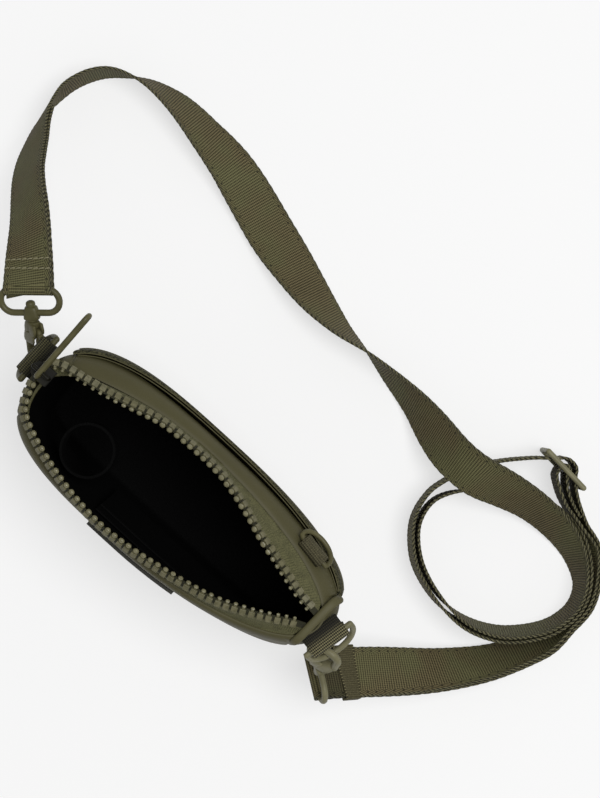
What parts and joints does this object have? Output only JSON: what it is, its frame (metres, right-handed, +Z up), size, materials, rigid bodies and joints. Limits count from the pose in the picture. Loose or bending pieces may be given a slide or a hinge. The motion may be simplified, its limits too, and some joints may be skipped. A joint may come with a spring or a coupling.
{
  "type": "phone pouch",
  "caption": "Padded olive neoprene phone pouch, open zip, back pocket, D-rings, and a long webbing strap on swivel hooks.",
  "frame": {"origin": "middle of the flat base, on the surface that the pouch stands on", "axes": "+X along the pouch towards the closed end of the zip, +Y out of the back with its pocket, +Z up"},
  "size_m": [0.3761, 0.1877, 0.1273],
  "materials": {
    "shell": "matte knitted neoprene",
    "lining": "matte",
    "zip_tape": "woven herringbone",
    "zip_teeth": "satin",
    "webbing": "ribbed webbing",
    "painted_metal": "satin"
  },
  "bodies": {
    "pouch": {"base_panel": "shell", "front_panel": "shell", "back_panel": "shell", "end_gusset_left": "shell", "end_gusset_right": "shell", "lining": "lining", "zip_tape_front": "zip_tape", "zip_tape_back": "zip_tape", "zip_teeth_front": "zip_teeth", "zip_teeth_back": "zip_teeth", "zip_end_band": "shell", "back_pocket": "shell", "back_pocket_hem": "shell", "front_patch": "shell", "card_slot_upper": "lining", "card_slot_lower": "lining", "elastic_loop": "lining", "tab_left": "webbing", "tab_right": "webbing", "tab_spare": "webbing", "strap_long_run": "webbing", "strap_inner_turn": "webbing", "strap_outer_turn": "webbing", "strap_lower_run": "webbing", "strap_return_run": "webbing", "strap_sewn_end": "webbing", "strap_doubled_end": "webbing", "strap_fold": "webbing", "tri_glide": "painted_metal"},
    "slider": {"zip_slider": "painted_metal"},
    "puller": {"zip_puller": "painted_metal"},
    "ring_left": {"d_ring_left": "painted_metal"},
    "ring_right": {"d_ring_right": "painted_metal"},
    "ring_spare": {"d_ring_spare": "painted_metal"},
    "eye_left": {"hook_eye_left": "painted_metal"},
    "eye_right": {"hook_eye_right": "painted_metal"},
    "hook_left": {"hook_body_left": "painted_metal"},
    "hook_right": {"hook_body_right": "painted_metal"},
    "gate_left": {"hook_gate_left": "painted_metal"},
    "gate_right": {"hook_gate_right": "painted_metal"},
    "keeper": {"strap_keeper": "webbing"}
  },
  "joints": [
    {"name": "zip_slider_slide", "type": "slide", "parent": "pouch", "child": "slider", "axis": [1, 0, 0], "range_m": [0, 0.008]},
    {"name": "zip_puller_hinge", "type": "hinge", "parent": "slider", "child": "puller", "pos_m": [-0.08891, 0.0024, 0.1149], "axis": [1, 0, 0], "range_deg": [-15, 165]},
    {"name": "d_ring_left_hinge", "type": "hinge", "parent": "pouch", "child": "ring_left", "pos_m": [-0.0957, 0.0048, 0.093], "axis": [0, 1, 0], "range_deg": [-2, 8]},
    {"name": "d_ring_right_hinge", "type": "hinge", "parent": "pouch", "child": "ring_right", "pos_m": [0.0934, -0.001, 0.094], "axis": [-0.1994, -0.9799, 0], "range_deg": [-2, 3]},
    {"name": "d_ring_spare_hinge", "type": "hinge", "parent": "pouch", "child": "ring_spare", "pos_m": [0.05988, 0.0253, 0.0999], "axis": [0.9877, -0.1564, 0], "range_deg": [0, 110]},
    {"name": "hook_eye_left_hinge", "type": "hinge", "parent": "pouch", "child": "eye_left", "pos_m": [-0.12154, 0.02601, 0.0922], "axis": [0.7369, 0.6487, 0.1899], "range_deg": [-0.8, 2.5]},
    {"name": "hook_left_swivel", "type": "hinge", "parent": "eye_left", "child": "hook_left", "pos_m": [-0.11355, 0.01837, 0.08728], "axis": [0.6605, -0.6312, -0.4067], "range_deg": [-8, 35]},
    {"name": "hook_gate_left_hinge", "type": "hinge", "parent": "hook_left", "child": "gate_left", "pos_m": [-0.10522, 0.01356, 0.08711], "axis": [-0.4301, -0.762, 0.4841], "range_deg": [-14, 0], "stiffness_Nm_per_rad": 0.02},
    {"name": "hook_eye_right_hinge", "type": "hinge", "parent": "pouch", "child": "eye_right", "pos_m": [0.1039, -0.0214, 0.05196], "axis": [0.7746, -0.5197, 0.3604], "range_deg": [-3.5, 0.9]},
    {"name": "hook_right_swivel", "type": "hinge", "parent": "eye_right", "child": "hook_right", "pos_m": [0.10224, -0.01634, 0.06282], "axis": [-0.1374, 0.4179, 0.898], "range_deg": [-35, 8]},
    {"name": "hook_gate_right_hinge", "type": "hinge", "parent": "hook_right", "child": "gate_right", "pos_m": [0.09681, -0.0133, 0.07015], "axis": [0.0768, -0.8994, 0.4303], "range_deg": [-28, 0], "stiffness_Nm_per_rad": 0.02},
    {"name": "strap_keeper_slide", "type": "slide", "parent": "pouch", "child": "keeper", "axis": [-0.6457, -0.6056, 0.4652], "range_m": [-0.002, 0.002]}
  ]
}
